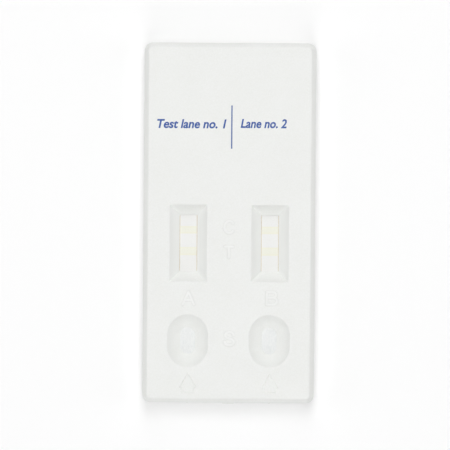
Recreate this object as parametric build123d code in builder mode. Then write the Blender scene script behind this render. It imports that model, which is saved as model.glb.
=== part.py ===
from build123d import *
import os

# Two-lane lateral flow cassette: a moulded lid and base press together round two test strips.
# Each strip is a backing card that carries a sample pad, a conjugate pad, a membrane and an absorbent pad.
# Millimetres. The origin is under the middle of the base, +Z is up out of the lid's face, and +Y runs
# along the lanes from the sample wells to the absorbent ends.

# Test strips
lane_pitch = 17.0
strip_length = 65.0
strip_width = 3.5
backing_thickness = 0.25
membrane_thickness = 0.2
conjugate_thickness = 0.35
sample_thickness = 0.75
absorbent_thickness = 0.85
conjugate_length = 8.0
pad_lap = 2.0            # how far a pad lies on its neighbour
lap_ramp = 0.6           # how long it takes to climb there

# Housing skin
side_margin = 9.4        # lane axis to the long outer wall
end_margin = 5.0         # strip end to the short outer wall
parting_height = 2.4     # where the base stops and the lid starts
corner_radius = 1.75
draft_angle = 1.5
floor_thickness = 1.2
face_thickness = 1.2
base_wall = 1.2
bevel_width = 0.9
bevel_height = 0.9
bevel_inner_round = 0.6
bevel_outer_round = 0.3
base_edge_round = 0.5
parting_chamfer = 0.12
inner_corner_radius = 0.6

# Lid tongue, which fits inside the base wall
tongue_thickness = 0.5
tongue_depth = 0.6
tongue_clearance = 0.1

# Sample wells
well_setback = 7.95      # strip end to well centre
well_throat_width = 3.1
well_mouth_width = 8.4
well_straight = 2.45     # straight run between the round ends
well_lip_height = 0.15
well_cove = 0.12         # how far the bowl is hollowed behind a straight slope

# Result windows
window_width = 3.7
window_length = 11.9
window_bevel_run = 2.02
window_lip_height = 0.1
window_lip_gap = 0.1     # air between the window lip and the membrane
window_corner_radius = 0.35
window_cove = 0.06
rim_round = 0.4

# Walls round the wells and windows inside the lid, and where the pads keep clear of them
frame_wall = 0.8
conjugate_clearance = 1.5
window_clearance = 0.45
absorbent_setback = 7.85

# Strip bed and guides in the base
bed_height = 0.3
strip_clearance = 0.15
guide_thickness = 0.8
guide_length = 6.0
guide_count = 5
bar_thickness = 0.8
bed_bar_count = 9
window_bed_margin = 1.5
headroom = 0.95          # air over the thickest lap of pads

# Press pins in the lid, whose corners bite in the base's round sockets
pin_diameter = 2.0       # across the corners
pin_sides = 6
pin_clearance = 0.02
pin_tip_gap = 0.2
pin_tip_chamfer = 0.25
socket_wall = 0.7
socket_rise = 0.6        # how far a socket stands over the parting line
socket_clearance = 0.25

# Moulding marks on the end walls
gate_recess_width = 3.0
gate_recess_depth = 0.15
gate_stub_width = 2.4
gate_stub_proud = 0.15
gate_stub_height = 1.6
lane_rib_radius = 0.2
lane_rib_proud = 0.1

cut_margin = 1.0         # how far a cutting shape runs on past what it cuts

# Plan
cassette_width = lane_pitch + 2 * side_margin
cassette_length = strip_length + 2 * end_margin
strip_start = -strip_length / 2
strip_end = strip_length / 2
well_y = strip_start + well_setback
well_rim_end = well_y + well_straight / 2 + well_throat_width / 2 + frame_wall
conjugate_start = well_rim_end + conjugate_clearance
conjugate_end = conjugate_start + conjugate_length
window_start = conjugate_end + window_clearance + frame_wall
window_end = window_start + window_length
window_y = (window_start + window_end) / 2
absorbent_start = window_end + absorbent_setback
membrane_start = conjugate_end - pad_lap
membrane_end = absorbent_start + pad_lap
lane_xs = (-lane_pitch / 2, lane_pitch / 2)
lane_places = [(x, 0) for x in lane_xs]
well_places = [(x, well_y) for x in lane_xs]
window_places = [(x, window_y) for x in lane_xs]

# Levels
bed_level = floor_thickness + bed_height
backing_level = bed_level + backing_thickness
membrane_level = backing_level + membrane_thickness
window_lip_level = membrane_level + window_lip_gap
sample_level = backing_level + sample_thickness
absorbent_level = backing_level + absorbent_thickness
conjugate_lap_level = membrane_level + conjugate_thickness
absorbent_lap_level = membrane_level + absorbent_thickness
sample_lap_level = sample_level + conjugate_thickness
ceiling_level = sample_lap_level + headroom
face_level = ceiling_level + face_thickness
well_lip = sample_level + well_lip_height
window_lip = window_lip_level + window_lip_height
socket_level = parting_height + socket_rise

# Insides
lid_wall = base_wall + tongue_clearance + tongue_thickness
base_inner_width = cassette_width - 2 * base_wall
base_inner_length = cassette_length - 2 * base_wall
lid_inner_width = cassette_width - 2 * lid_wall
lid_inner_length = cassette_length - 2 * lid_wall
guide_spread = strip_width + 2 * strip_clearance + guide_thickness
bed_width = guide_spread + guide_thickness
guide_pitch = (strip_length - guide_length) / (guide_count - 1)
bed_bar_pitch = (strip_length - bar_thickness) / (bed_bar_count - 1)
stop_spread = strip_length + 2 * strip_clearance + bar_thickness

# Press pins stand in the four corners, and in two rows across: below the windows and half way up the
# absorbent pads
socket_radius = pin_diameter / 2 + pin_clearance + socket_wall
pin_x = lid_inner_width / 2 - socket_clearance - socket_radius
pin_y = lid_inner_length / 2 - socket_clearance - socket_radius
lower_row_y = (well_rim_end + window_start) / 2
upper_row_y = (window_end + strip_end) / 2
pin_places = [(x, y) for x in (-pin_x, pin_x) for y in (-pin_y, lower_row_y, upper_row_y, pin_y)]
pin_places += [(0, lower_row_y), (0, upper_row_y)]


def hollow_section(plane, throat, mouth, lip, cove, whole=False):
    """Section of a hollow above its lip: out along a cove to the mouth, and over a rounded rim."""
    with BuildSketch(plane) as section:
        with BuildLine():
            Line((0, lip), (throat, lip))
            SagittaArc((throat, lip), (mouth, face_level), -cove)
            Polyline(
                (mouth, face_level),
                (mouth + cut_margin, face_level),
                (mouth + cut_margin, face_level + cut_margin),
                (0, face_level + cut_margin),
                (0, lip),
            )
        make_face()
        rim = section.vertices().sort_by_distance((mouth, face_level, 0))[0]
        fillet(rim, radius=rim_round)
        if whole:
            mirror(about=Plane.YZ)
    return section.sketch


def frame_section(plane, throat, mouth, foot, whole=False):
    """Section of the wall round a hollow: a slope from its foot out to the lid's ceiling."""
    with BuildSketch(plane) as section:
        with BuildLine():
            Polyline(
                (0, foot),
                (throat + frame_wall, foot),
                (mouth + frame_wall, ceiling_level),
                (0, ceiling_level),
                close=True,
            )
        make_face()
        if whole:
            mirror(about=Plane.YZ)
    return section.sketch


def stadium(section, *form):
    """Turns a well section about each round end and draws it straight between them."""
    widths = (well_throat_width / 2, well_mouth_width / 2)
    with BuildPart() as round_end:
        revolve(section(Plane.XZ, *widths, *form), axis=Axis.Z)
    with BuildPart() as well:
        extrude(section(Plane.XZ, *widths, *form, whole=True), amount=well_straight / 2, both=True)
        with Locations((0, -well_straight / 2), (0, well_straight / 2)):
            add(round_end.part)
    return well.part


def mitred(section, *form):
    """Crosses the window's two sections, so that their slopes meet in mitres at the corners."""
    across = window_width / 2
    along = window_length / 2
    with BuildPart() as window:
        sides = section(Plane.XZ, across, across + window_bevel_run, *form, whole=True)
        extrude(sides, amount=cassette_length, both=True)
        ends = section(Plane.YZ, along, along + window_bevel_run, *form, whole=True)
        extrude(ends, amount=cassette_width, both=True, mode=Mode.INTERSECT)
    return window.part


well_frame = stadium(frame_section, sample_level)
well_hollow = stadium(hollow_section, well_lip, well_cove)
window_frame = mitred(frame_section, window_lip_level)
window_hollow = mitred(hollow_section, window_lip, window_cove)

# Where the lid's bars press on a strip, and the pad surface that each one meets
press_bars = [
    (conjugate_start + pad_lap / 2, sample_lap_level),
    (conjugate_end - pad_lap / 2, conjugate_lap_level),
    (absorbent_start + pad_lap / 2, absorbent_lap_level),
    ((absorbent_start + strip_end) / 2, absorbent_level),
]

with BuildPart() as lid:
    with BuildSketch(Plane.XY.offset(parting_height)):
        RectangleRounded(cassette_width, cassette_length, corner_radius)
    extrude(amount=face_level - parting_height, taper=draft_angle)
    face = lid.faces().sort_by(Axis.Z)[-1]
    chamfer(face.edges(), length=bevel_width, length2=bevel_height, reference=face)
    bevel_foot = lid.edges().group_by(Axis.Z)[-3]
    fillet(bevel_foot, radius=bevel_outer_round)
    fillet(lid.edges().group_by(Axis.Z)[-1], radius=bevel_inner_round)
    chamfer(lid.edges().group_by(Axis.Z)[0], length=parting_chamfer)

    # Cavity, and the tongue that hangs inside the base wall
    with BuildSketch(Plane.XY.offset(parting_height)):
        RectangleRounded(lid_inner_width, lid_inner_length, inner_corner_radius)
    extrude(amount=ceiling_level - parting_height, mode=Mode.SUBTRACT)
    with BuildSketch(Plane.XY.offset(parting_height)):
        RectangleRounded(
            base_inner_width - 2 * tongue_clearance,
            base_inner_length - 2 * tongue_clearance,
            inner_corner_radius,
        )
        RectangleRounded(lid_inner_width, lid_inner_length, inner_corner_radius, mode=Mode.SUBTRACT)
    extrude(amount=-tongue_depth)

    # Press bars and pins under the ceiling
    for bar_y, bar_foot in press_bars:
        with BuildSketch(Plane.XY.offset(bar_foot)):
            with Locations(*[(x, bar_y) for x in lane_xs]):
                Rectangle(strip_width, bar_thickness)
        extrude(amount=ceiling_level - bar_foot)
    pin_foot = floor_thickness + pin_tip_gap
    with BuildSketch(Plane.XY.offset(pin_foot)):
        with Locations(*pin_places):
            RegularPolygon(pin_diameter / 2, pin_sides)
    extrude(amount=ceiling_level - pin_foot)
    chamfer(lid.edges().group_by(Axis.Z)[0], length=pin_tip_chamfer)

    # Walls round the wells, which reach the sample pads, and round the windows
    with Locations(*well_places):
        add(well_frame)
    with Locations(*window_places):
        add(window_frame)

    # The hollows through those walls, with a straight throat below each lip
    with Locations(*well_places):
        add(well_hollow, mode=Mode.SUBTRACT)
    with Locations(*window_places):
        add(window_hollow, mode=Mode.SUBTRACT)
    with BuildSketch(Plane.XY.offset(sample_level)):
        with Locations(*well_places):
            SlotCenterToCenter(well_straight, well_throat_width, rotation=90)
    extrude(amount=well_lip_height, mode=Mode.SUBTRACT)
    with BuildSketch(Plane.XY.offset(window_lip_level)):
        with Locations(*window_places):
            RectangleRounded(window_width, window_length, window_corner_radius)
    extrude(amount=window_lip_height, mode=Mode.SUBTRACT)

    # A shallow recess at each end, the gate stub in the one at the sample end, and a rib at each lane
    with BuildSketch(Plane.XY.offset(parting_height)):
        with Locations((0, -cassette_length / 2), (0, cassette_length / 2)):
            Rectangle(gate_recess_width, 2 * gate_recess_depth)
    extrude(amount=face_level - parting_height, mode=Mode.SUBTRACT)
    stub_length = 2 * (gate_recess_depth + gate_stub_proud)
    with BuildSketch(Plane.XY.offset(parting_height)):
        with Locations((0, gate_recess_depth - cassette_length / 2)):
            Rectangle(gate_stub_width, stub_length)
    extrude(amount=gate_stub_height)
    with BuildSketch(Plane.XY.offset(parting_height)):
        with Locations(*[(x, lane_rib_radius - lane_rib_proud - cassette_length / 2) for x in lane_xs]):
            Circle(lane_rib_radius)
    extrude(amount=face_level - bevel_height - parting_height)
lid.part.label = "lid"

with BuildPart() as base:
    with BuildSketch(Plane.XY.offset(parting_height)):
        RectangleRounded(cassette_width, cassette_length, corner_radius)
    extrude(amount=-parting_height, taper=draft_angle)
    fillet(base.edges().group_by(Axis.Z)[0], radius=base_edge_round)
    chamfer(base.edges().group_by(Axis.Z)[-1], length=parting_chamfer)
    with BuildSketch(Plane.XY.offset(floor_thickness)):
        RectangleRounded(base_inner_width, base_inner_length, inner_corner_radius)
    extrude(amount=parting_height - floor_thickness, mode=Mode.SUBTRACT)

    # Bed bars under each strip, with an unbroken bed under the window
    with BuildSketch(Plane.XY.offset(floor_thickness)):
        with Locations(*lane_places):
            with GridLocations(0, bed_bar_pitch, 1, bed_bar_count):
                Rectangle(bed_width, bar_thickness)
            with Locations((0, window_y)):
                Rectangle(bed_width, window_length + 2 * window_bed_margin)
    extrude(amount=bed_height)

    # Guide ribs along each strip's edges and a stop at each end, as high as the membrane
    with BuildSketch(Plane.XY.offset(floor_thickness)):
        with Locations(*lane_places):
            with GridLocations(guide_spread, guide_pitch, 2, guide_count):
                Rectangle(guide_thickness, guide_length)
            with GridLocations(0, stop_spread, 1, 2):
                Rectangle(bed_width, bar_thickness)
    extrude(amount=membrane_level - floor_thickness)

    # Sockets for the lid's pins
    with BuildSketch(Plane.XY.offset(floor_thickness)):
        with Locations(*pin_places):
            Circle(socket_radius)
    extrude(amount=socket_level - floor_thickness)
    with BuildSketch(Plane.XY.offset(floor_thickness)):
        with Locations(*pin_places):
            Circle(pin_diameter / 2 + pin_clearance)
    extrude(amount=socket_level - floor_thickness, mode=Mode.SUBTRACT)
base.part.label = "base"


def strip_layer(lane_x, path, thickness):
    """Draws a layer's side along its underside path, as thick all along, and makes it a strip wide."""
    over = [(y, z + thickness) for y, z in reversed(path)]
    with BuildPart() as layer:
        with BuildSketch(Plane.YZ.offset(lane_x)):
            with BuildLine():
                Polyline(*path, *over, close=True)
            make_face()
        extrude(amount=strip_width / 2, both=True)
    return layer.part


# Underside of each layer, from its lower end to its upper end, and its thickness
conjugate_top = backing_level + conjugate_thickness
strip_layers = {
    "backing_card": ([(strip_start, bed_level), (strip_end, bed_level)], backing_thickness),
    "membrane": ([(membrane_start, backing_level), (membrane_end, backing_level)], membrane_thickness),
    "conjugate_pad": (
        [
            (conjugate_start, backing_level),
            (membrane_start - lap_ramp, backing_level),
            (membrane_start, membrane_level),
            (conjugate_end, membrane_level),
        ],
        conjugate_thickness,
    ),
    "sample_pad": (
        [
            (strip_start, backing_level),
            (conjugate_start - lap_ramp, backing_level),
            (conjugate_start, conjugate_top),
            (conjugate_start + pad_lap, conjugate_top),
        ],
        sample_thickness,
    ),
    "absorbent_pad": (
        [
            (absorbent_start, membrane_level),
            (membrane_end, membrane_level),
            (membrane_end + lap_ramp, backing_level),
            (strip_end, backing_level),
        ],
        absorbent_thickness,
    ),
}

os.makedirs("parts", exist_ok=True)
export_step(lid.part, "parts/lid.step")
export_step(base.part, "parts/base.step")
for lane_name, lane_x in zip("ab", lane_xs):
    for layer_name, (path, thickness) in strip_layers.items():
        layer = strip_layer(lane_x, path, thickness)
        layer.label = f"{layer_name}_{lane_name}"
        export_step(layer, f"parts/{layer.label}.step")
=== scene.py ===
import math

import bmesh
import bpy
import numpy as np
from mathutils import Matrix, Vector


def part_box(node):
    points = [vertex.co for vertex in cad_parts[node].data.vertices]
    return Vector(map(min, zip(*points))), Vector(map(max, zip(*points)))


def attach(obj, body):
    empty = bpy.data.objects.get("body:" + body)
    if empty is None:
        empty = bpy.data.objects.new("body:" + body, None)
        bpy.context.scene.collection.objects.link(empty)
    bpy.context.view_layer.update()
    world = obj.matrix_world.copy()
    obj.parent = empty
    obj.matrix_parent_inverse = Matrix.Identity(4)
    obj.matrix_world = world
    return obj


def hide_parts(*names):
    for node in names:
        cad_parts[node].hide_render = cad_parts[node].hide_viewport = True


# Looks of a two-lane lateral flow cassette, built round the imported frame. Lengths below are in millimetres
# in the frame's axes: +Z out of the lid's face, +Y from the sample wells to the absorbent ends.

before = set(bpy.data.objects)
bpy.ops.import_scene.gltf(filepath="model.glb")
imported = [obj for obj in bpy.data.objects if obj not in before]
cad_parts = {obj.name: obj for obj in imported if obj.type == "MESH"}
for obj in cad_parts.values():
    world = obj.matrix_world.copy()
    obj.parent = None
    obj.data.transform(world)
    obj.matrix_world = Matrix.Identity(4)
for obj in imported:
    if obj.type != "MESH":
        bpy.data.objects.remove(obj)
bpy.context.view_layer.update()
MM = 0.001


def corners(node_name):
    """Lowest and highest corner of a CAD node in millimetres."""
    low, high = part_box(node_name)
    return np.array(low) / MM, np.array(high) / MM


# Height of the face, middle of each lane across the lid, and half a strip's width
FACE = float(corners("lid")[1][2])
LANES = {strip: float(np.mean([c[0] for c in corners("membrane_" + strip)])) for strip in "ab"}
HALF_STRIP = float(corners("membrane_b")[1][0]) - LANES["b"]

CAD_JOIN = 0.0005        # points of a CAD node that lie this near are one point
SHADE_ANGLE = 30         # degrees between faces up to which the lid is shaded as one round

# Throat of the sample wells: middle along the lane, straight run between the round ends, and radius
WELL_THROAT = (-24.55, 2.45, 1.6)

# Windows
WINDOW_ENDS = (-10.3, 1.75)      # ends of the opening along the lane, with a little over
HALF_WINDOW = 1.85               # half width of the opening
WINDOW_BEVEL = 2.1               # run of the slopes round it, with a little over

# Painted light and shade on the slopes. Each pair gives the lean of a face where the paint starts and where
# it is full
HIGHLIGHT_LEAN = (0.15, 0.55)       # lean across the lane less lean along it
BEVEL_START = 16.6               # where the lid's long bevels start on each side
BEVEL_SHADE = 0.3                 # share of the darker tint on them
BEVEL_LEAN = (0.0, 0.5)          # lean across
BEVEL_RISE = (0.2, 0.5)          # lean up

# Moulded letters: the middle of each one on the face
LETTER_PLACES = {"C": (0.0, -0.9), "T": (-0.03, -6.05), "A": (-8.4, -15.72),
                 "B": (8.9, -15.62), "S": (0.17, -24.06)}
LETTER_RISE = 0.1
LETTER_CROWN = 0.16      # half width of a stroke's flat top
LETTER_FOOT = 0.62       # half width of a stroke where it meets the face
LETTER_SINK = 0.005      # how far its skirt goes below the face
LETTER_ROOT = 0.1        # how far its underside lies below the face
LETTER_STEP = 0.05       # spacing of its points

# Arrows cut into the face at the sample end, one on each lane
ARROW_LANES = (-8.4, 8.6)
ARROW_OUTLINE = ((0.0, -31.34), (1.64, -34.2), (1.2, -34.36), (1.2, -35.3),
                 (-1.2, -35.3), (-1.2, -34.36), (-1.64, -34.2))
GROOVE_HALF_WIDTH = 0.12
GROOVE_FOOT = 0.06       # half width of its floor
GROOVE_DEPTH = 0.12
GROOVE_OVERSHOOT = 0.1   # how far its cutter stands above the face

# Layers of a strip: radius of the cut edge, depth of the wear, spacing of the points, and swell in the throat
LAYERS = {"membrane": (0.03, 0.01, 0.25, 0.0), "conjugate_pad": (0.08, 0.04, 0.25, 0.0),
          "sample_pad": (0.1, 0.06, 0.09, 0.12), "absorbent_pad": (0.1, 0.06, 0.3, 0.0)}
EDGE_SHARES = (0.0, 0.08, 0.3, 0.65)     # where points lie on a cut edge, in shares of its radius
WEAR_SIZES = (0.9, 0.35, 0.18)           # widths of the dips in a worn top
WEAR_SHIFT = 9                           # how far the noises of these dips lie apart
THROAT_EASE = 0.05                       # width of the step up to the swollen felt
LAP_RAMP = 0.6                           # way in which a pad climbs onto its neighbour

# Membranes: at the sample end they bow up to the window's lip, so that no gap shows there
LIP_BOW = 0.085
BOW_PATH = ((-1.0, 0.0), (-0.5, 1.0), (0.15, 1.0), (1.0, 0.0))   # way past the lip, and share of the bow
REAGENT_LINES = ((-5.95, 1.66), (-1.52, 1.5))                    # centre and width along the lane
# The brown tint along a cut edge is partly the card's adhesive and partly painted shade of the gap beside it
BROWN_EDGE_SHADE = 0.06                                                # width of the tint along a cut edge

# Beads of adhesive along the membranes' cut edges
BEAD_WIDTH = 0.2
BEAD_ROOT = 0.12         # how far a bead goes below the membrane's top
BEAD_CREST = 0.03        # how far it stands above it
BEAD_TUCK = 0.02         # how far it reaches inside the cut edge
BEAD_OVERRUN = 0.5       # how far it goes on past the window's ends
BEAD_STEP = 0.15         # spacing of its rings
BEAD_POINTS = 7          # points on the arch of a ring
BEAD_RIPPLE = 0.1        # share of its size that changes along it
BEAD_RIPPLE_SIZE = 0.8   # length of such a change

# Print on the face
INK_FILM = 0.012
INK_SINK = 0.02          # how far the film goes below the face
CAPITAL_HEIGHT = 1.85
# Text, left end, right end and baseline
WORDS = {"a": ("Test lane no. 1", -15.15, -0.75, 19.67), "b": ("Lane no. 2", 2.2, 11.8, 19.8)}
RULE = (0.37, 15.4, 24.4, 0.25)      # x, lower end, upper end, width
RULE_FLAT = 0.8                      # share of its width that has the full film
RULE_RINGS = 10

# The built-in typeface as it is set, in units of its size
CAPITAL_UNITS = 0.729    # height of a capital
STROKE_GAIN = 0.028      # how far the ink spreads past its outline
SLANT = 0.2
HALF_DEPTH = 0.5         # half the depth of its letters, before they are pressed to a film
CURVE_STEPS = 5
TYPE_JOIN = 0.00001      # points that lie this near are one point

# Floor, lights and softboxes, in metres, watts and degrees
FLOOR_HALF = 3.0
FLOOR_GLOW = 0.13        # what the camera alone sees on the floor besides the light of the lamps
FILL_LEVEL = 0.146       # how strongly the white studio lights what is in it
LAMP_DISTANCE = 1.2
# Azimuth, elevation, size and power. They stand overhead and all round, so the slopes are lit almost evenly
SOFTBOXES = {"top": (90, 88, 0.8, 3.6), "back_high": (90, 55, 0.6, 4.25), "front_high": (-90, 55, 0.6, 2.1),
             "back_low": (90, 25, 0.6, 2.0), "front_low": (-90, 25, 0.6, 3.15),
             "right_low": (0, 25, 0.6, 1.77), "left_low": (180, 25, 0.6, 1.84)}

# Camera: straight down with a long lens, a little off the middle and turned by half a degree
CAMERA_PLACE = (-0.894, -0.457)
CAMERA_HEIGHT = 900      # above the face
CAMERA_TURN = 0.45
CAMERA_LENS = 346.5
CAMERA_SENSOR = 36.0


def put_object(name, data):
    """An object at the origin, in the scene."""
    made = bpy.data.objects.new(name, data)
    bpy.context.scene.collection.objects.link(made)
    return made


def put_piece(name, mesh, finish):
    """Gives a mesh its finish and an object at the origin that rides on the one body."""
    mesh.materials.clear()
    mesh.materials.append(finish)
    piece = put_object(name, mesh)
    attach(piece, "root")
    return piece


def put_mesh(name, points, faces, finish, smooth=True):
    """Makes a piece of the part from points in millimetres and faces, with its finish, on the one body."""
    mesh = bpy.data.meshes.new(name)
    mesh.from_pydata(np.asarray(points, float) * MM, [], np.asarray(faces, int))
    mesh.polygons.foreach_set("use_smooth", np.full(len(mesh.polygons), smooth))
    mesh.update()
    return put_piece(name, mesh, finish)


def grid_faces(rows, columns, close_rows=False, close_columns=False):
    """Quads of a rows by columns grid of points counted row by row, closed on itself where asked."""
    r = np.arange(rows if close_rows else rows - 1)[:, None]
    c = np.arange(columns if close_columns else columns - 1)[None, :]
    r2, c2 = (r + 1) % rows, (c + 1) % columns
    quads = np.stack(np.broadcast_arrays(
        r * columns + c, r * columns + c2, r2 * columns + c2, r2 * columns + c), axis=-1)
    return quads.reshape(-1, 4)


def put_sweep(name, rings, finish, smooth=True):
    """Makes a closed bar from rows of rings of points: quads along the rows, and a strip of quads across the
    ring at each end."""
    rows, columns = rings.shape[:2]
    i = np.arange(columns // 2 - 1)
    cap = np.stack([i, i + 1, columns - 2 - i, columns - 1 - i], axis=1)
    faces = np.concatenate([
        grid_faces(rows, columns, close_columns=True), cap[:, ::-1], cap + (rows - 1) * columns])
    put_mesh(name, rings.reshape(-1, 3), faces, finish, smooth)


def join_doubles(mesh, distance, flat=False):
    """Joins the vertices of a mesh that lie within a distance of each other. In a mesh with flat ends, the
    edges inside the ends are turned so that no thin triangles are left."""
    solid = bmesh.new()
    solid.from_mesh(mesh)
    bmesh.ops.remove_doubles(solid, verts=solid.verts, dist=distance)
    if flat:
        bmesh.ops.beautify_fill(solid, faces=solid.faces, edges=solid.edges)
    solid.to_mesh(mesh)
    solid.free()


def evaluated_mesh(piece):
    """The mesh that an object's modifiers, or its lettering, make."""
    bpy.context.view_layer.update()
    return bpy.data.meshes.new_from_object(piece.evaluated_get(bpy.context.evaluated_depsgraph_get()))


def read(items, field, width=1, kind=float):
    """One field of all the vertices, corners or faces of a mesh, as an array."""
    values = np.empty(len(items) * width, kind)
    items.foreach_get(field, values)
    return values.reshape(-1, width) if width > 1 else values


def face_corners(mesh):
    """For each corner of a mesh's faces: its vertex, and the normal and the area of its face."""
    sides = read(mesh.polygons, "loop_total", kind=int)
    normal = np.repeat(read(mesh.polygons, "normal", 3), sides, axis=0)
    area = np.repeat(read(mesh.polygons, "area"), sides)
    return read(mesh.loops, "vertex_index", kind=int), normal, area


def ramp(value, start, end):
    """0 up to the start, 1 from the end on, and a straight line between."""
    return np.clip((value - start) / (end - start), 0, 1)


def ease(s):
    """A step from 0 to 1 that is level at both ends: three times the square, less twice the cube."""
    return s * s * (3 - 2 * s)


def value_noise(x, y, size, seed):
    """Smooth noise from -1 to 1: random values on a lattice of the given size, eased between its corners."""
    cells = 64
    table = np.random.default_rng(seed).uniform(-1, 1, (cells, cells))
    u, v = x / size, y / size
    i, j = np.floor(u).astype(int), np.floor(v).astype(int)
    s, t = ease(u - i), ease(v - j)
    near = table[i % cells, j % cells] * (1 - s) + table[(i + 1) % cells, j % cells] * s
    far = table[i % cells, (j + 1) % cells] * (1 - s) + table[(i + 1) % cells, (j + 1) % cells] * s
    return near * (1 - t) + far * t


# Finishes

def srgb(code):
    """Linear colour, with alpha, of an sRGB hex value."""
    c = np.array([int(code[i:i + 2], 16) for i in (1, 3, 5)]) / 255
    return (*np.where(c <= 0.04045, c / 12.92, ((c + 0.055) / 1.055) ** 2.4), 1.0)


def node(tree, kind, inputs=None, **settings):
    """Adds one node: settings are its own properties, and an input is a constant or another node's socket.
    A Mix node's inputs go by number: 0 is its share, 2 and 3 are its values, and 6 and 7 its colours. Its
    output 0 is the mixed value, and 2 the mixed colour."""
    made = tree.nodes.new(kind)
    for key, value in settings.items():
        setattr(made, key, value)
    for key, value in (inputs or {}).items():
        if isinstance(value, bpy.types.NodeSocket):
            tree.links.new(value, made.inputs[key])
        else:
            made.inputs[key].default_value = value
    return made


def empty_tree(owner):
    """The node tree of a material or a world, with nothing in it."""
    owner.use_nodes = True
    owner.node_tree.nodes.clear()
    return owner.node_tree


def new_finish(name):
    """A material, its empty node tree, and its object coordinates in metres."""
    finish = bpy.data.materials.new(name)
    tree = empty_tree(finish)
    return finish, tree, node(tree, "ShaderNodeTexCoord").outputs["Object"]


def per_mm(size):
    """Noise scale on object coordinates in metres whose features are about this many millimetres wide."""
    return 1 / (size * MM)


def set_stops(colours, stops):
    """Gives a colour ramp its stops, each a position from 0 to 1 and an sRGB hex value."""
    while len(colours.elements) < len(stops):
        colours.elements.new(1.0)
    for element, (position, code) in zip(colours.elements, stops):
        element.position = position
        element.color = srgb(code)


def moulded_styrene():
    """White high-impact polystyrene, injection moulded in a spark-eroded tool. The tool leaves a fine matt
    grain that breaks up the highlight, and the pigment lies a little unevenly. The real grain is about
    0.05 mm, and is drawn at 0.3 mm so that it shows. The crowns of the raised letters and the windows' long
    slopes carry a painted highlight, a shade lighter than the face. The letters' skirts carry painted shade,
    a darker halo round each letter, and the long bevels carry painted shade, a shade darker."""
    finish, tree, place = new_finish("moulded_white_styrene")
    grain = node(tree, "ShaderNodeTexNoise", {"Vector": place, "Scale": per_mm(0.3), "Detail": 2.0})
    cloud = node(tree, "ShaderNodeTexNoise", {"Vector": place, "Scale": per_mm(7.0), "Detail": 2.0})
    both = node(tree, "ShaderNodeMix", {0: 0.3, 2: grain.outputs["Fac"], 3: cloud.outputs["Fac"]})
    tint = node(tree, "ShaderNodeValToRGB", {"Fac": both.outputs[0]})
    set_stops(tint.color_ramp, [(0.35, "#EDEEEB"), (0.65, "#F1F2F0")])
    raised = node(tree, "ShaderNodeMapRange", {
        "Value": node(tree, "ShaderNodeSeparateXYZ", {"Vector": place}).outputs["Z"],
        "From Min": FACE * MM, "From Max": (FACE + LETTER_RISE) * MM})
    # Painted shade: the letters' skirts are darkened by height above the face, a halo round each letter
    painted_halo = node(tree, "ShaderNodeValToRGB", {"Fac": raised.outputs[0]})
    set_stops(painted_halo.color_ramp, [(0.0, "#FFFFFF"), (0.4, "#FAFAFA"), (0.7, "#FAFAFA"), (0.92, "#FFFFFF")])
    tint = node(tree, "ShaderNodeMix", {
        0: 1.0, 6: tint.outputs["Color"], 7: painted_halo.outputs["Color"]}, data_type="RGBA", blend_type="MULTIPLY")
    # Painted highlight: the letters' crowns and the windows' slopes are mixed towards a lighter tint
    crown = node(tree, "ShaderNodeMapRange", {"Value": raised.outputs[0], "From Min": 0.85})
    slope = node(tree, "ShaderNodeAttribute", attribute_name="painted_highlight")
    painted_highlight = node(tree, "ShaderNodeMath", {0: crown.outputs[0], 1: slope.outputs["Fac"]}, operation="MAXIMUM")
    tint = node(tree, "ShaderNodeMix", {
        0: painted_highlight.outputs[0], 6: tint.outputs[2], 7: srgb("#F3F4F2")}, data_type="RGBA")
    # Painted shade: the long bevels are mixed towards a darker tint
    painted_bevel_shade = node(tree, "ShaderNodeAttribute", attribute_name="painted_bevel_shade")
    tint = node(tree, "ShaderNodeMix", {
        0: painted_bevel_shade.outputs["Fac"], 6: tint.outputs[2], 7: srgb("#E6E7E4")}, data_type="RGBA")
    rough = node(tree, "ShaderNodeMapRange", {
        "Value": grain.outputs["Fac"], "From Min": 0.3, "From Max": 0.7, "To Min": 0.5, "To Max": 0.62})
    bump = node(tree, "ShaderNodeBump", {
        "Height": grain.outputs["Fac"], "Strength": 0.25, "Distance": 0.02 * MM})
    shell = node(tree, "ShaderNodeBsdfPrincipled", {
        "Base Color": tint.outputs[2], "Roughness": rough.outputs[0], "Normal": bump.outputs[0],
        "IOR": 1.59, "Specular IOR Level": 0.4})
    node(tree, "ShaderNodeOutputMaterial", {"Surface": shell.outputs[0]})
    return finish


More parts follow.
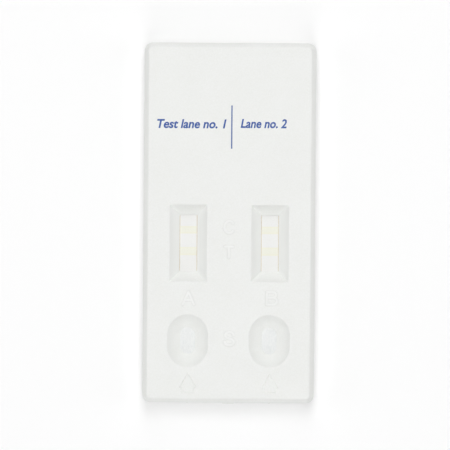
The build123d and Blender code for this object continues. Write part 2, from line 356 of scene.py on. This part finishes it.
def nitrocellulose():
    """Cast nitrocellulose membrane: chalk white and quite matt, with pores that only show as a faint
    mottle. Real pores are about 0.01 mm wide, and are drawn at 0.25 mm so that they show. The two reagent
    lines that dried in it are pale yellow, with more reagent at their edges. A brown tint along the cut edges
    is partly the adhesive of the card and partly painted shade of the narrow gap beside them."""
    finish, tree, place = new_finish("cast_nitrocellulose")
    low, high = WINDOW_ENDS
    axes = node(tree, "ShaderNodeSeparateXYZ", {"Vector": place}).outputs
    along = node(tree, "ShaderNodeMapRange", {
        "Value": axes["Y"], "From Min": low * MM, "From Max": high * MM})
    lines = node(tree, "ShaderNodeValToRGB", {"Fac": along.outputs[0]})
    plain, pale, strong = "#F1F1EF", "#F1F1E6", "#F1F0E0"
    # Way past the lower and past the upper edge of a line, and the tint there
    lower_edge = ((-0.12, plain), (0.1, strong), (0.45, pale))
    upper_edge = ((-0.35, pale), (-0.1, strong), (0.12, plain))
    stops = []
    for centre, width in REAGENT_LINES:
        stops += [(centre - width / 2 + way, code) for way, code in lower_edge]
        stops += [(centre + width / 2 + way, code) for way, code in upper_edge]
    set_stops(lines.color_ramp, [((y - low) / (high - low), code) for y, code in stops])
    pores = node(tree, "ShaderNodeTexNoise", {"Vector": place, "Scale": per_mm(0.25), "Detail": 3.0})
    mottle = node(tree, "ShaderNodeMapRange", {"Value": pores.outputs["Fac"], "To Min": 0.97, "To Max": 1.03})
    tint = node(tree, "ShaderNodeVectorMath", {
        0: lines.outputs["Color"], "Scale": mottle.outputs[0]}, operation="SCALE")
    # Painted shade, partly: a brown tint along the cut edges, for the gap beside the strip
    beside = node(tree, "ShaderNodeMath", {0: axes["X"]}, operation="ABSOLUTE")
    beside = node(tree, "ShaderNodeMath", {0: beside.outputs[0], 1: LANES["b"] * MM}, operation="SUBTRACT")
    beside = node(tree, "ShaderNodeMath", {0: beside.outputs[0]}, operation="ABSOLUTE")
    cut = node(tree, "ShaderNodeMapRange", {
        "Value": beside.outputs[0], "From Min": (HALF_STRIP - BROWN_EDGE_SHADE) * MM, "From Max": HALF_STRIP * MM})
    tint = node(tree, "ShaderNodeMix", {
        0: cut.outputs[0], 6: tint.outputs[0], 7: srgb("#ECE5D4")}, data_type="RGBA")
    bump = node(tree, "ShaderNodeBump", {
        "Height": pores.outputs["Fac"], "Strength": 0.2, "Distance": 0.02 * MM})
    sheet = node(tree, "ShaderNodeBsdfPrincipled", {
        "Base Color": tint.outputs[2], "Roughness": 0.9, "Normal": bump.outputs[0],
        "IOR": 1.5, "Specular IOR Level": 0.2})
    node(tree, "ShaderNodeOutputMaterial", {"Surface": sheet.outputs[0]})
    return finish


def fibre_felt(name, light, dark, fibre, roughness):
    """A felt of short fibres laid flat in all directions: matt, with light fibres over darker gaps. Three
    noises, each stretched one way, lie over each other to draw them. Real fibres are about 0.01 to 0.02 mm
    thick, and are drawn at the given width so that they show."""
    finish, tree, place = new_finish(name)
    turns, stretch = (0.3, 1.35, 2.4), (1.0, 0.55, 1.0)
    layers = []
    for turn in turns:
        laid = node(tree, "ShaderNodeMapping", {
            "Vector": place, "Rotation": (0.0, 0.0, turn), "Scale": stretch})
        layers.append(node(tree, "ShaderNodeTexNoise", {
            "Vector": laid.outputs[0], "Scale": per_mm(fibre), "Detail": 3.0}).outputs["Fac"])
    felt = node(tree, "ShaderNodeMath", {0: layers[0], 1: layers[1]}, operation="MAXIMUM")
    felt = node(tree, "ShaderNodeMath", {0: felt.outputs[0], 1: layers[2]}, operation="MAXIMUM")
    tint = node(tree, "ShaderNodeValToRGB", {"Fac": felt.outputs[0]})
    set_stops(tint.color_ramp, [(0.4, dark), (0.8, light)])
    bump = node(tree, "ShaderNodeBump", {
        "Height": felt.outputs[0], "Strength": 0.3, "Distance": 0.05 * MM})
    mat = node(tree, "ShaderNodeBsdfPrincipled", {
        "Base Color": tint.outputs["Color"], "Roughness": roughness, "Normal": bump.outputs[0],
        "IOR": 1.5, "Specular IOR Level": 0.2})
    node(tree, "ShaderNodeOutputMaterial", {"Surface": mat.outputs[0]})
    return finish


def film_card():
    """White polystyrene card with a film of adhesive: smooth and a little glossy, with faint roller lines
    about 0.3 mm apart."""
    finish, tree, place = new_finish("rolled_styrene_card")
    drawn = node(tree, "ShaderNodeMapping", {"Vector": place, "Scale": (1.0, 0.02, 1.0)})
    roll = node(tree, "ShaderNodeTexNoise", {"Vector": drawn.outputs[0], "Scale": per_mm(0.3), "Detail": 2.0})
    tint = node(tree, "ShaderNodeValToRGB", {"Fac": roll.outputs["Fac"]})
    set_stops(tint.color_ramp, [(0.35, "#ECE9DE"), (0.65, "#F1EFE8")])
    card = node(tree, "ShaderNodeBsdfPrincipled", {
        "Base Color": tint.outputs["Color"], "Roughness": 0.35, "IOR": 1.59})
    node(tree, "ShaderNodeOutputMaterial", {"Surface": card.outputs[0]})
    return finish


def adhesive_film():
    """The card's acrylic adhesive, squeezed out at the cut: a soft satin bead. Its brown tint is partly the
    adhesive's own colour and partly painted shade of the narrow gap beside the cut edge.
    """
    finish, tree, place = new_finish("adhesive_and_gap_shade")
    dust = node(tree, "ShaderNodeTexNoise", {"Vector": place, "Scale": per_mm(0.3), "Detail": 3.0})
    tint = node(tree, "ShaderNodeValToRGB", {"Fac": dust.outputs["Fac"]})
    # The brown is partly the adhesive's colour and partly painted shade of the gap beside the cut edge
    set_stops(tint.color_ramp, [(0.35, "#DDD2BD"), (0.65, "#E8E0CF")])
    bead = node(tree, "ShaderNodeBsdfPrincipled", {
        "Base Color": tint.outputs["Color"], "Roughness": 0.4, "IOR": 1.47})
    node(tree, "ShaderNodeOutputMaterial", {"Surface": bead.outputs[0]})
    return finish


def pad_print_ink():
    """Blue two-part ink, pad printed: a thin satin film that is a little uneven where the pad let go."""
    finish, tree, place = new_finish("pad_print_blue_ink")
    cover = node(tree, "ShaderNodeTexNoise", {"Vector": place, "Scale": per_mm(0.25), "Detail": 2.0})
    tint = node(tree, "ShaderNodeValToRGB", {"Fac": cover.outputs["Fac"]})
    set_stops(tint.color_ramp, [(0.35, "#1A4590"), (0.65, "#27559C")])
    ink = node(tree, "ShaderNodeBsdfPrincipled", {
        "Base Color": tint.outputs["Color"], "Roughness": 0.45, "IOR": 1.5})
    node(tree, "ShaderNodeOutputMaterial", {"Surface": ink.outputs[0]})
    return finish


# Housing

def groove_cutter(shift):
    """A trough profile carried round the arrow's closed outline: each corner's profile lies along its mitre,
    which is the sum of the two edge normals divided by one plus their dot product."""
    path = np.array(ARROW_OUTLINE) + (shift, 0.0)
    edge = np.roll(path, -1, axis=0) - path
    normal = np.stack([edge[:, 1], -edge[:, 0]], axis=1) / np.linalg.norm(edge, axis=1)[:, None]
    before = np.roll(normal, 1, axis=0)
    mitre = (normal + before) / (1 + np.sum(normal * before, axis=1))[:, None]
    profile = np.array([
        (-GROOVE_HALF_WIDTH, GROOVE_OVERSHOOT), (-GROOVE_HALF_WIDTH, 0.0), (-GROOVE_FOOT, -GROOVE_DEPTH),
        (GROOVE_FOOT, -GROOVE_DEPTH), (GROOVE_HALF_WIDTH, 0.0), (GROOVE_HALF_WIDTH, GROOVE_OVERSHOOT)])
    flat = path[:, None, :] + profile[None, :, :1] * mitre[:, None, :]
    height = np.broadcast_to(FACE + profile[None, :, 1:], (len(path), len(profile), 1))
    points = np.concatenate([flat, height], axis=2).reshape(-1, 3)
    faces = grid_faces(len(path), len(profile), close_rows=True, close_columns=True)
    mesh = bpy.data.meshes.new("groove_cutter")
    mesh.from_pydata(points * MM, [], faces)
    shape = bmesh.new()
    shape.from_mesh(mesh)
    bmesh.ops.recalc_face_normals(shape, faces=shape.faces)
    shape.to_mesh(mesh)
    shape.free()
    return put_object("groove_cutter", mesh)


def merged_copy(node_name):
    """A copy of a CAD node's mesh with its loose triangles joined."""
    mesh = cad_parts[node_name].data.copy()
    join_doubles(mesh, CAD_JOIN * MM)
    return mesh


def shade(mesh):
    """Shading normals: at each corner of a face, the sum by area of the normals of the faces round that
    vertex that turn from this face by less than the shade angle. Gives back these normals and the vertex
    of each corner."""
    mesh.polygons.foreach_set("use_smooth", np.ones(len(mesh.polygons), bool))
    vertex, own, area = face_corners(mesh)
    weighed = own * area[:, None]
    order = np.argsort(vertex, kind="stable")
    count = np.bincount(vertex)[vertex[order]]
    first = np.searchsorted(vertex[order], vertex[order])
    total = np.zeros_like(own)
    for step in range(count.max()):
        other = order[first + (np.arange(len(order)) - first + step) % count]
        near = np.sum(own[order] * own[other], axis=1) > math.cos(math.radians(SHADE_ANGLE))
        total[order] += weighed[other] * (near & (step < count))[:, None]
    normals = total / np.linalg.norm(total, axis=1)[:, None]
    mesh.normals_split_custom_set(normals)
    return normals, vertex


def mark_painted_light(mesh, normals, vertex):
    """Marks, at each corner of a face, where light and shade are painted on the tool's slopes. A painted
    highlight lies on the windows' slopes and grows with how much more a face leans across the lane than along
    it. Painted shade lies a little on the long bevels, and fades out to the face above and to the upright
    wall below."""
    x, y, _ = read(mesh.vertices, "co", 3)[vertex].T / MM
    low, high = WINDOW_ENDS
    beside = np.abs(np.abs(x) - LANES["b"])
    window = (beside < HALF_WINDOW + WINDOW_BEVEL) & (y > low - WINDOW_BEVEL) & (y < high + WINDOW_BEVEL)
    across, along, up = np.abs(normals.T)
    # Painted highlight on the windows' slopes
    painted_highlight = window * ramp(across - along, *HIGHLIGHT_LEAN)
    # Painted shade on the long bevels
    painted_bevel_shade = BEVEL_SHADE * (np.abs(x) > BEVEL_START) * ramp(across, *BEVEL_LEAN) * ramp(up, *BEVEL_RISE)
    for name, amount in (("painted_highlight", painted_highlight), ("painted_bevel_shade", painted_bevel_shade)):
        mesh.attributes.new(name, "FLOAT", "CORNER").data.foreach_set("value", amount)


def grooved_lid(finish):
    """The CAD lid with the arrows cut into its face."""
    lid = put_piece("lid_with_arrows", merged_copy("lid"), finish)
    cutters = [groove_cutter(shift) for shift in ARROW_LANES]
    for cutter in cutters:
        cut = lid.modifiers.new("arrow", "BOOLEAN")
        cut.operation = "DIFFERENCE"
        cut.solver = "EXACT"
        cut.object = cutter
    made = evaluated_mesh(lid)
    lid.modifiers.clear()
    lid.data = made
    for cutter in cutters:
        bpy.data.objects.remove(cutter)
    normals, vertex = shade(lid.data)
    mark_painted_light(lid.data, normals, vertex)
    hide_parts("lid")


def arc(centre, radii, start, stop, count=24):
    """Points on an ellipse between two angles in degrees."""
    t = np.radians(np.linspace(start, stop, count))
    return np.stack([centre[0] + radii[0] * np.cos(t), centre[1] + radii[1] * np.sin(t)], axis=1)


def smooth_path(points, steps):
    """A smooth curve through the points: a cubic between each two, in this many steps, whose direction at a
    point is half the way from the point before it to the point after it."""
    p = np.concatenate([[2 * points[0] - points[1]], points, [2 * points[-1] - points[-2]]])
    t = np.linspace(0, 1, steps, endpoint=False)[None, :, None]
    a, b, c, d = (p[i:len(p) - 3 + i, None, :] for i in range(4))
    square, cube = 2 * a - 5 * b + 4 * c - d, 3 * b - a - 3 * c + d
    curve = 0.5 * (2 * b + (c - a) * t + square * t ** 2 + cube * t ** 3)
    return np.concatenate([curve.reshape(-1, 2), points[-1:]])


def letter_strokes():
    """Middle lines of the moulded letters' strokes, about the middle of each letter."""
    spine = np.array([(0.86, 0.70), (0.60, 1.17), (0.0, 1.34), (-0.64, 1.17), (-0.86, 0.70), (-0.56, 0.24),
                      (0.0, 0.03), (0.62, -0.2), (0.95, -0.68), (0.68, -1.17), (0.0, -1.34), (-0.70, -1.17),
                      (-0.97, -0.64)])
    return {
        "C": [arc((0, 0), (1.0, 1.24), 40, 320, 40)],
        "T": [np.array([(-0.85, 1.12), (0.85, 1.12)]), np.array([(0, 1.12), (0, -1.12)])],
        "A": [np.array([(-1.16, -1.29), (0, 1.29), (1.16, -1.29)]), np.array([(-0.76, -0.4), (0.76, -0.4)])],
        "B": [np.concatenate([[(-1.0, 1.29)], arc((0.28, 0.7), (0.66, 0.59), 90, -90)]),
              np.concatenate([[(-1.0, 0.11)], arc((0.34, -0.59), (0.74, 0.7), 90, -90),
                              [(-1.0, -1.29), (-1.0, 1.29)]])],
        "S": [smooth_path(spine, 6)],
    }


def stroke_distance(x, y, strokes):
    """Distance of each point to the nearest stroke line."""
    start = np.concatenate([s[:-1] for s in strokes])
    run = np.concatenate([s[1:] - s[:-1] for s in strokes])
    off = np.stack([x, y], axis=-1)[..., None, :] - start
    t = np.clip(np.sum(off * run, axis=-1) / np.sum(run * run, axis=-1), 0, 1)
    return np.linalg.norm(off - t[..., None] * run, axis=-1).min(axis=-1)


def moulded_letter(name, strokes, place, finish):
    """A raised letter: a flat crown along the stroke lines, and skirts whose height falls with the square of
    the way that is left to their foot. The part of the grid near the strokes is kept, and closed by a flat
    underside inside the lid."""
    ends = np.concatenate(strokes)
    reach = LETTER_FOOT + 2 * LETTER_STEP
    low, high = ends.min(axis=0) - reach, ends.max(axis=0) + reach
    x, y = np.meshgrid(np.arange(low[0], high[0], LETTER_STEP), np.arange(low[1], high[1], LETTER_STEP))
    distance = stroke_distance(x, y, strokes)
    left = 1 - ramp(distance, LETTER_CROWN, LETTER_FOOT)
    rise = (LETTER_RISE + LETTER_SINK) * left ** 2 - LETTER_SINK
    top = np.stack([x + place[0], y + place[1], FACE + rise], axis=-1).reshape(-1, 3)
    under = top * (1, 1, 0) + (0, 0, FACE - LETTER_ROOT)
    quads = grid_faces(*x.shape)
    quads = quads[(distance.ravel()[quads] < reach).all(axis=1)]
    edges = np.stack([quads, np.roll(quads, -1, axis=1)], axis=-1).reshape(-1, 2)
    count = len(top)
    inner = np.isin(edges[:, 0] * count + edges[:, 1], edges[:, 1] * count + edges[:, 0])
    rim = edges[~inner]
    wall = np.stack([rim[:, 1], rim[:, 0], rim[:, 0] + count, rim[:, 1] + count], axis=1)
    faces = np.concatenate([quads, quads[:, ::-1] + count, wall])
    used, faces = np.unique(faces, return_inverse=True)
    points = np.concatenate([top, under])[used]
    put_mesh(name, points, faces.reshape(-1, 4), finish)


# Test strips

def strip_layer(layer, strip, path, thickness, finish):
    """A layer of a test strip that stands for its CAD node: a top and an underside over the strip's plan,
    a thickness apart, that close on each other along a rounded cut edge. The underside follows the path,
    and smooth noise wears the top down. In the throat of the sample well the top can swell: an eased step of
    the distance to the throat's middle line."""
    node_name = layer + "_" + strip
    edge, wear_depth, step, swell = LAYERS[layer]
    seed = 10 * ord(strip) + len(WEAR_SIZES) * list(LAYERS).index(layer)
    low, high = corners(node_name)
    half, lane = (high[0] - low[0]) / 2, (low[0] + high[0]) / 2
    inset = edge * np.array(EDGE_SHARES)
    x, y = np.meshgrid(*(
        np.concatenate([a + inset, np.linspace(a + edge, b - edge, 2 + int((b - a) / step)), b - inset[::-1]])
        for a, b in ((-half, half), (low[1], high[1]))))
    nearest = np.minimum(half - np.abs(x), np.minimum(y - low[1], high[1] - y))
    full = np.sqrt(np.clip(1 - (1 - ramp(nearest, 0, edge)) ** 2, 0, 1))
    middle = np.interp(y, *np.array(path).T) + thickness / 2
    noise = sum(value_noise(x + WEAR_SHIFT * k, y, size, seed + k) for k, size in enumerate(WEAR_SIZES))
    worn = 0.5 + noise / (2 * len(WEAR_SIZES))
    well_y, well_run, well_radius = WELL_THROAT
    inside = well_radius - np.hypot(x, np.maximum(np.abs(y - well_y) - well_run / 2, 0))
    lift = swell * ease(ramp(inside, 0, THROAT_EASE)) - wear_depth * full * worn
    top = np.stack([x + lane, y, middle + full * thickness / 2 + lift], axis=-1).reshape(-1, 3)
    under = np.stack([x + lane, y, middle - full * thickness / 2], axis=-1).reshape(-1, 3)
    index = np.arange(x.size).reshape(x.shape)
    below = index + x.size
    below[[0, -1], :], below[:, [0, -1]] = index[[0, -1], :], index[:, [0, -1]]
    quads = grid_faces(*x.shape)
    faces = np.concatenate([quads, below.ravel()[quads[:, ::-1]]])
    used, faces = np.unique(faces, return_inverse=True)
    points = np.concatenate([top, under])[used]
    piece = put_mesh(node_name + "_cut", points, faces.reshape(-1, 4), finish)
    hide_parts(node_name)


def adhesive_bead(name, edge, outward, film_z, finish):
    """A bead of the card's adhesive along a cut edge of a strip: a quarter of a superellipse of power 4, from
    the edge out to its width, carried along the edge, with a size that smooth noise changes a little."""
    start, end = WINDOW_ENDS
    y = np.arange(start - BEAD_OVERRUN, end + BEAD_OVERRUN, BEAD_STEP)[:, None]
    t = np.linspace(0, math.pi / 2, BEAD_POINTS)[None, :]
    seed = int(abs(edge) * 100)
    ripple = value_noise(y, 0 * y, BEAD_RIPPLE_SIZE, seed)
    full = 1 - BEAD_RIPPLE + BEAD_RIPPLE * ripple
    inner, under = edge - outward * BEAD_TUCK, film_z - BEAD_ROOT
    arch = np.stack(np.broadcast_arrays(
        inner + outward * BEAD_WIDTH * full * np.sqrt(np.sin(t)), y,
        under + (BEAD_ROOT + BEAD_CREST) * full * np.sqrt(np.abs(np.cos(t)))), axis=-1)
    back = np.stack(np.broadcast_arrays(inner, y, under), axis=-1)
    rings = np.concatenate([arch, back], axis=1)[:, ::outward]
    put_sweep(name, rings, finish)


def test_strip(strip, card, membrane, adhesive, gold_felt, glass_felt, blotting):
    """One strip: the membrane on its card with adhesive along its edges in the window, and the pads, each of
    which climbs onto its neighbour where they lap."""
    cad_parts["backing_card_" + strip].material_slots[0].material = card
    (_, film_start, card_z), (_, film_end, film_z) = corners("membrane_" + strip)
    (_, gold_start, _), (_, gold_end, gold_top) = corners("conjugate_pad_" + strip)
    (_, felt_start, _), (_, felt_end, felt_top) = corners("sample_pad_" + strip)
    (_, wick_start, _), (_, wick_end, wick_top) = corners("absorbent_pad_" + strip)
    gold_thick, wick_thick = gold_top - film_z, wick_top - film_z
    gold_z = card_z + gold_thick
    bow = [(WINDOW_ENDS[0] + way, card_z + share * LIP_BOW) for way, share in BOW_PATH]
    strip_layer("membrane", strip, [
        (film_start, card_z), *bow, (film_end, card_z)], film_z - card_z, membrane)
    for side, outward in (("left", -1), ("right", 1)):
        adhesive_bead(
            f"adhesive_bead_{strip}_{side}", LANES[strip] + outward * HALF_STRIP, outward, film_z, adhesive)
    strip_layer("conjugate_pad", strip, [
        (gold_start, card_z), (film_start - LAP_RAMP, card_z), (film_start, film_z), (gold_end, film_z)],
        gold_thick, gold_felt)
    strip_layer("sample_pad", strip, [
        (felt_start, card_z), (gold_start - LAP_RAMP, card_z), (gold_start, gold_z), (felt_end, gold_z)],
        felt_top - gold_z, glass_felt)
    strip_layer("absorbent_pad", strip, [
        (wick_start, film_z), (film_end, film_z), (film_end + LAP_RAMP, card_z), (wick_end, card_z)],
        wick_thick, blotting)


# Print

def outward_step(mesh):
    """How far each vertex of an upright outline moves when all its walls move out by one unit: along the sum
    of its two walls' normals, up to twice that sum, so that sharp corners stay short."""
    vertex, normal, _ = face_corners(mesh)
    upright = np.abs(normal[:, 2]) < 0.5
    both = np.zeros((len(mesh.vertices), 3))
    np.add.at(both, vertex[upright], normal[upright])
    return 2 * both / np.maximum((both ** 2).sum(axis=1), 1)[:, None]


def printed_words(name, words, left, right, baseline, finish):
    """A film of ink in the shape of slanted lettering, set on the face between two ends. Its outlines stand
    outside the letters' own by the stroke gain, as ink spreads."""
    letters = bpy.data.curves.new(name, "FONT")
    letters.body = words
    letters.shear = SLANT
    letters.extrude = HALF_DEPTH
    letters.resolution_u = CURVE_STEPS
    set_up = put_object(name, letters)
    mesh = evaluated_mesh(set_up)
    bpy.data.objects.remove(set_up)
    join_doubles(mesh, TYPE_JOIN, flat=True)
    points = read(mesh.vertices, "co", 3) + STROKE_GAIN * outward_step(mesh)
    first, last = points[:, 0].min(), points[:, 0].max()
    film = (INK_FILM + INK_SINK) / (2 * HALF_DEPTH)
    scale = ((right - left) / (last - first), CAPITAL_HEIGHT / CAPITAL_UNITS, film)
    points = (points - (first, 0, HALF_DEPTH)) * scale + (left, baseline, FACE + INK_FILM)
    mesh.vertices.foreach_set("co", (points * MM).ravel())
    mesh.update()
    put_piece(name, mesh, finish)


def printed_rule(name, x, bottom, top, width, finish):
    """A film of ink in the shape of a straight rule: a flat strip with thinner edges, carried along Y."""
    side, thin = np.array([-1, -RULE_FLAT, RULE_FLAT, 1, 1, -1]) * width / 2, INK_FILM / 2
    rise = np.array([thin, INK_FILM, INK_FILM, thin, -INK_SINK, -INK_SINK])
    y = np.linspace(bottom, top, RULE_RINGS)[:, None]
    rings = np.stack(np.broadcast_arrays(x + side, y, FACE + rise), axis=-1)
    put_sweep(name, rings, finish, smooth=False)


# Stage

def white_paper():
    """Matt white paper. A glow that the camera alone sees keeps it as pale as the studio behind it."""
    finish = bpy.data.materials.new("white_paper")
    tree = empty_tree(finish)
    ray = node(tree, "ShaderNodeLightPath")
    seen = node(tree, "ShaderNodeMath", {
        0: ray.outputs["Is Camera Ray"], 1: FLOOR_GLOW}, operation="MULTIPLY")
    glow = node(tree, "ShaderNodeEmission", {"Strength": seen.outputs[0]})
    matt = node(tree, "ShaderNodeBsdfDiffuse", {"Color": srgb("#F4F4F4")})
    both = node(tree, "ShaderNodeAddShader", {0: glow.outputs[0], 1: matt.outputs[0]})
    node(tree, "ShaderNodeOutputMaterial", {"Surface": both.outputs[0]})
    return finish


def white_studio():
    """White all round: at full strength where it is seen or mirrored, and a weak fill otherwise."""
    world = bpy.data.worlds.new("studio")
    tree = empty_tree(world)
    ray = node(tree, "ShaderNodeLightPath")
    seen = node(tree, "ShaderNodeMath", {
        0: ray.outputs["Is Camera Ray"], 1: ray.outputs["Is Glossy Ray"]}, operation="MAXIMUM")
    seen = node(tree, "ShaderNodeMath", {
        0: seen.outputs[0], 1: ray.outputs["Is Transmission Ray"]}, operation="MAXIMUM")
    level = node(tree, "ShaderNodeMapRange", {"Value": seen.outputs[0], "To Min": FILL_LEVEL, "To Max": 1.0})
    sky = node(tree, "ShaderNodeBackground", {"Color": srgb("#FFFFFF"), "Strength": level.outputs[0]})
    node(tree, "ShaderNodeOutputWorld", {"Surface": sky.outputs[0]})
    return world


def softbox(name, azimuth, elevation, size, watts):
    """A square area lamp that looks at the middle of the cassette."""
    lamp = bpy.data.lights.new(name, "AREA")
    lamp.size = size
    lamp.energy = watts
    piece = put_object(name, lamp)
    a, e = math.radians(azimuth), math.radians(elevation)
    piece.location = LAMP_DISTANCE * np.array(
        [math.cos(e) * math.cos(a), math.cos(e) * math.sin(a), math.sin(e)])
    piece.rotation_euler = (-piece.location).to_track_quat("-Z", "Y").to_euler()
    piece.visible_camera = False


housing = moulded_styrene()
membrane = nitrocellulose()
card = film_card()
ink = pad_print_ink()
adhesive = adhesive_film()
glass_felt = fibre_felt("glass_fibre_felt", "#F4F5F4", "#E9EBEB", fibre=0.35, roughness=0.9)
gold_felt = fibre_felt("glass_fibre_with_dried_gold", "#CFA0A6", "#B5838B", fibre=0.35, roughness=0.9)
blotting = fibre_felt("cotton_blotting_paper", "#F4F1E9", "#E9E5DB", fibre=0.5, roughness=0.95)

grooved_lid(housing)
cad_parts["base"].material_slots[0].material = housing
for letter, strokes in letter_strokes().items():
    moulded_letter("moulded_letter_" + letter, strokes, LETTER_PLACES[letter], housing)
for strip in "ab":
    test_strip(strip, card, membrane, adhesive, gold_felt, glass_felt, blotting)
for lane, place in WORDS.items():
    printed_words("printed_words_" + lane, *place, ink)
printed_rule("printed_rule", *RULE, ink)

floor_mesh = bpy.data.meshes.new("floor")
floor_mesh.from_pydata([
    (-FLOOR_HALF, -FLOOR_HALF, 0), (FLOOR_HALF, -FLOOR_HALF, 0), (FLOOR_HALF, FLOOR_HALF, 0),
    (-FLOOR_HALF, FLOOR_HALF, 0)], [], [(0, 1, 2, 3)])
floor_mesh.materials.append(white_paper())
floor = put_object("floor", floor_mesh)

bpy.context.scene.world = white_studio()
for name, lamp in SOFTBOXES.items():
    softbox(name + "_softbox", *lamp)

camera = bpy.data.cameras.new("camera")
camera.sensor_width = CAMERA_SENSOR
camera.lens = CAMERA_LENS
eye = put_object("camera", camera)
eye.location = np.array((*CAMERA_PLACE, CAMERA_HEIGHT + FACE)) * MM
eye.rotation_euler = (0.0, 0.0, math.radians(CAMERA_TURN))
bpy.context.scene.camera = eye

bpy.context.scene.view_settings.view_transform = "Standard"
